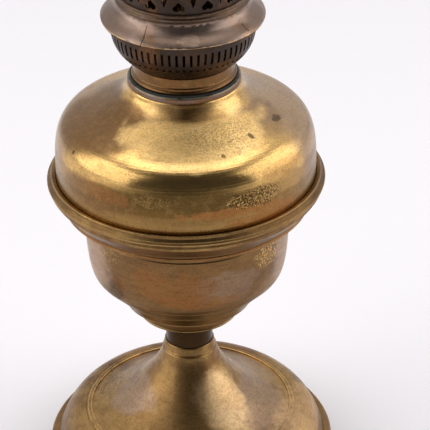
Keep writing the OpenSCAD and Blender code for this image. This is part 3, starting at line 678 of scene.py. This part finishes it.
class OILLAMP_OT_wick(bpy.types.Operator):
    """Weave the round wick and char its top edge"""
    bl_idname = "oil_lamp.wick"
    bl_label = "Woven wick"

    def execute(self, context):
        sizes = context.scene.oil_lamp_sizes
        low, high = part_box("wick")
        outer = high.x - sizes.wick_tuck
        middle = outer - sizes.wick_wall / 2
        foot = low.z + sizes.wick_gap
        tall = high.z - low.z - sizes.fray
        row = tall / (sizes.weft_rows + 1)
        swept = 2 * math.pi - sizes.wick_split
        only()
        bpy.ops.mesh.primitive_plane_add(size=1, location=(0, 0, 0), rotation=(math.pi / 2, 0, 0))
        wick = context.object
        wick.name = "woven_wick"
        wick.scale = (sizes.wick_wall, tall, 1)
        wick.location = (-middle, 0, foot + tall / 2)
        bpy.ops.object.transform_apply(location=True, rotation=True, scale=True)
        bpy.ops.transform.rotate(
            value=sizes.wick_split / 2, orient_axis="Z", center_override=(0, 0, 0))
        bpy.ops.object.transform_apply(location=True, rotation=True, scale=True)
        bpy.ops.object.mode_set(mode="EDIT")
        for step in range(sizes.weft_rows):
            bpy.ops.mesh.select_all(action="SELECT")
            bpy.ops.mesh.bisect(plane_co=(0, 0, foot + row * (step + 1)), plane_no=(0, 0, 1))
        bpy.ops.mesh.select_all(action="SELECT")
        bpy.ops.mesh.spin(
            steps=sizes.warp_threads, angle=swept, center=(0, 0, 0), axis=(0, 0, 1))
        bpy.ops.mesh.select_all(action="SELECT")
        bpy.ops.mesh.remove_doubles(threshold=SAME_POINT)
        bpy.ops.mesh.normals_make_consistent(inside=False)
        bpy.ops.object.mode_set(mode="OBJECT")
        for vertex in wick.data.vertices:
            out = math.hypot(vertex.co.x, vertex.co.y)
            turn = math.atan2(vertex.co.y, vertex.co.x)
            over = round((vertex.co.z - low.z) / row) + round(turn * sizes.warp_threads / swept)
            side = 1 if out > middle else -1
            top = max(0.0, 1 - (high.z - vertex.co.z) / sizes.singed)
            sink = sizes.weave * (0.5 + 0.5 * (-1) ** over) + sizes.wick_wall * 0.22 * top ** 2
            vertex.co.x *= (out - side * sink) / out
            vertex.co.y *= (out - side * sink) / out
            if top > 0:
                vertex.co.z -= sizes.fray * top * (1 + math.sin(37 * turn) * math.sin(11 * turn))
        hand_over(wick, "wick", "wick")
        return {"FINISHED"}


class OILLAMP_OT_stage(bpy.types.Operator):
    """Set up the floor, the lights and the camera"""
    bl_idname = "oil_lamp.stage"
    bl_label = "Stage"

    def execute(self, context):
        stage = context.scene.oil_lamp_stage
        self.floor(stage.floor_radius, palette()["floor"])
        for softbox in SOFTBOXES:
            self.softbox(stage.aim, *softbox)
        self.world(context.scene)
        bpy.ops.object.camera_add(location=(0, -stage.back, stage.height))
        camera = context.object
        turn = (Matrix.Rotation(-stage.yaw, 3, "Z")
                @ Matrix.Rotation(math.pi / 2 - stage.pitch, 3, "X")
                @ Matrix.Rotation(stage.roll, 3, "Z"))
        camera.rotation_euler = turn.to_euler()
        camera.data.lens = stage.lens
        camera.data.sensor_width = 36
        context.scene.camera = camera
        context.scene.view_settings.view_transform = "Standard"
        return {"FINISHED"}

    def floor(self, radius, tone):
        """A round floor of pale paper."""
        only()
        bpy.ops.mesh.primitive_circle_add(vertices=128, radius=radius, fill_type="NGON")
        floor = bpy.context.object
        floor.name = "floor"
        f = Finish("floor_paper")
        base = f.mix(f.noise(6, 3) * 0.1, tone, tuple(0.95 * v for v in tone))
        floor.data.materials.append(f.finish(base, 0.9, 0.0))

    def softbox(self, height, name, place, size, power):
        """A soft rectangular light that faces the lamp at one height."""
        bpy.ops.object.light_add(type="AREA", location=place)
        light = bpy.context.object
        light.name = name
        light.data.shape = "RECTANGLE"
        light.data.size, light.data.size_y = size
        light.data.energy = power
        aim = Vector((0, 0, height)) - Vector(place)
        light.rotation_euler = aim.to_track_quat("-Z", "Y").to_euler()

    def world(self, scene):
        """Pale surroundings, darker on the camera's side as reflections see them."""
        scene.world = bpy.data.worlds.new("studio")
        scene.world.use_nodes = True
        shop = Shop(scene.world.node_tree)
        background = shop.tree.nodes["Background"]
        place = shop.node("TexCoord", {}, {}, "Generated")
        depth = shop.node("SeparateXYZ", {}, {0: place}, "Y")
        seen = shop.node("MapRange", {"interpolation_type": "SMOOTHSTEP"}, {
            "Value": depth, "From Min": -0.55, "From Max": 0.25, "To Min": 0.05, "To Max": 0.78})
        direct = shop.node("LightPath", {}, {}, "Is Camera Ray")
        strength = shop.node("Mix", {"data_type": "FLOAT"}, {0: direct, 2: seen, 3: 0.92})
        shop.plug(background.inputs["Strength"], strength)
        shop.plug(background.inputs["Color"], (1.0, 0.985, 1.0))


class OILLAMP_PT_panel(bpy.types.Panel):
    """Lists the lamp's builders"""
    bl_label = "Oil Lamp"
    bl_idname = "OILLAMP_PT_panel"
    bl_space_type = "VIEW_3D"
    bl_region_type = "UI"
    bl_category = "Oil Lamp"

    def draw(self, context):
        for builder in BUILDERS:
            self.layout.operator(builder.bl_idname)


BUILDERS = (OILLAMP_OT_finishes, OILLAMP_OT_flange, OILLAMP_OT_wick, OILLAMP_OT_stage)
CLASSES = (OilLampColours, OilLampSizes, OilLampStage, *BUILDERS, OILLAMP_PT_panel)


def register():
    """Adds the classes and their settings to Blender."""
    for kind in CLASSES:
        bpy.utils.register_class(kind)
    bpy.types.Scene.oil_lamp_colours = PointerProperty(type=OilLampColours)
    bpy.types.Scene.oil_lamp_sizes = PointerProperty(type=OilLampSizes)
    bpy.types.Scene.oil_lamp_stage = PointerProperty(type=OilLampStage)


def unregister():
    """Takes the classes and their settings out again."""
    del bpy.types.Scene.oil_lamp_stage
    del bpy.types.Scene.oil_lamp_sizes
    del bpy.types.Scene.oil_lamp_colours
    for kind in reversed(CLASSES):
        bpy.utils.unregister_class(kind)


def main():
    """Builds everything in order."""
    register()
    for builder in BUILDERS:
        space, name = builder.bl_idname.split(".")
        getattr(getattr(bpy.ops, space), name)()


if __name__ == "__main__":
    main()
